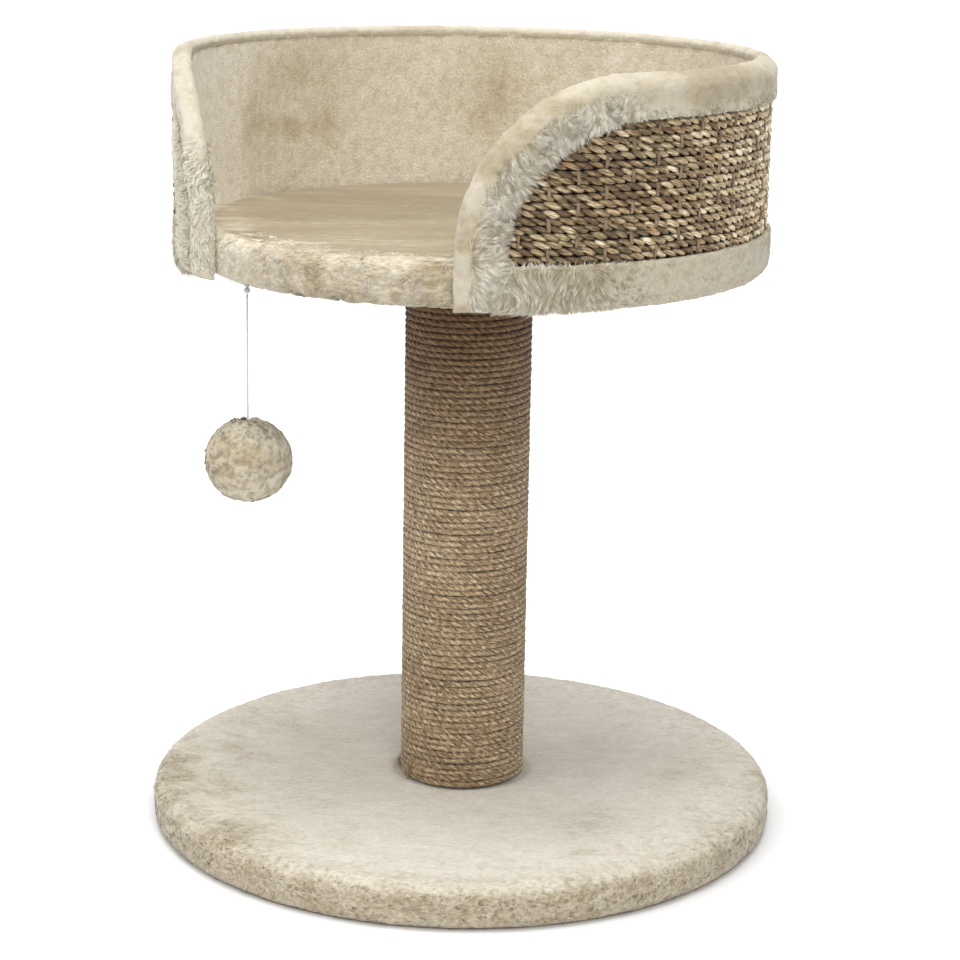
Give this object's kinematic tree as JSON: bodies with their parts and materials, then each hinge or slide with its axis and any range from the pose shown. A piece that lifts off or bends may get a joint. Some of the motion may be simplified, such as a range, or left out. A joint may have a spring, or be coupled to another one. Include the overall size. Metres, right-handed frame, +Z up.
{
  "type": "cat scratching post",
  "caption": "Rope-wound cat scratching post on a plush-covered round base, with a round walled plush bed on top, open at the front, and a plush ball hanging below it.",
  "frame": {"origin": "centre of the round base, on the floor, under the post's axis", "axes": "+Z up along the post; the bed's open front faces -Y; +X is to the right of someone who looks at that front, and the toy hangs on the -X side"},
  "size_m": [0.3988, 0.4, 0.494],
  "materials": {
    "plush": "short beige plush, brushed in patches",
    "trim_plush": "longer beige plush with greyer roots",
    "sisal_rope": "three-strand natural rope, matt and a little hairy",
    "seagrass": "twisted dried seagrass, satin, in a brick weave with thin ties",
    "chipboard": "raw particle board",
    "hardboard": "thin bent fibreboard",
    "tube_card": "spiral-wound card",
    "underlay_felt": "thin pressed non-woven cloth",
    "wadding": "loose polyester wadding",
    "zinc_steel": "bright zinc",
    "toy_cord": "thin pale twisted cord"
  },
  "bodies": {
    "stand": {"base_cover": "plush", "tray_cover": "plush", "wall_lining": "plush", "rim_trim": "trim_plush", "hem_trim": "trim_plush", "rope_winding": "sisal_rope", "woven_mat": "seagrass", "base_board": "chipboard", "tray_board": "chipboard", "lower_plug": "chipboard", "upper_plug": "chipboard", "wall_panel": "hardboard", "post_tube": "tube_card", "base_underlay": "underlay_felt", "tray_lining": "underlay_felt", "base_bolt": "zinc_steel", "base_washer": "zinc_steel", "lower_tee_nut": "zinc_steel", "upper_tee_nut": "zinc_steel", "tray_tee_nut": "zinc_steel", "top_stud": "zinc_steel", "rope_staple_lower": "zinc_steel", "rope_staple_upper": "zinc_steel", "toy_staple": "zinc_steel", "wall_screw_1": "zinc_steel", "wall_screw_2": "zinc_steel", "wall_screw_3": "zinc_steel", "wall_screw_4": "zinc_steel", "wall_screw_5": "zinc_steel", "wall_screw_6": "zinc_steel", "wall_screw_7": "zinc_steel", "lower_plug_nail_1": "zinc_steel", "lower_plug_nail_2": "zinc_steel", "lower_plug_nail_3": "zinc_steel", "upper_plug_nail_1": "zinc_steel", "upper_plug_nail_2": "zinc_steel", "upper_plug_nail_3": "zinc_steel"},
    "string_loop": {"string_knot": "toy_cord"},
    "toy": {"toy_string": "toy_cord", "ball_cover": "plush", "ball_core": "wadding", "ball_knot": "toy_cord"}
  },
  "joints": [
    {"name": "toy_swing_in_out", "type": "hinge", "parent": "stand", "child": "string_loop", "pos_m": [-0.07, -0.137, 0.35925], "axis": [1, 0, 0], "range_deg": [-45, 45]},
    {"name": "toy_swing_side", "type": "hinge", "parent": "string_loop", "child": "toy", "pos_m": [-0.07, -0.137, 0.35545], "axis": [0, 1, 0], "range_deg": [-45, 45]}
  ]
}
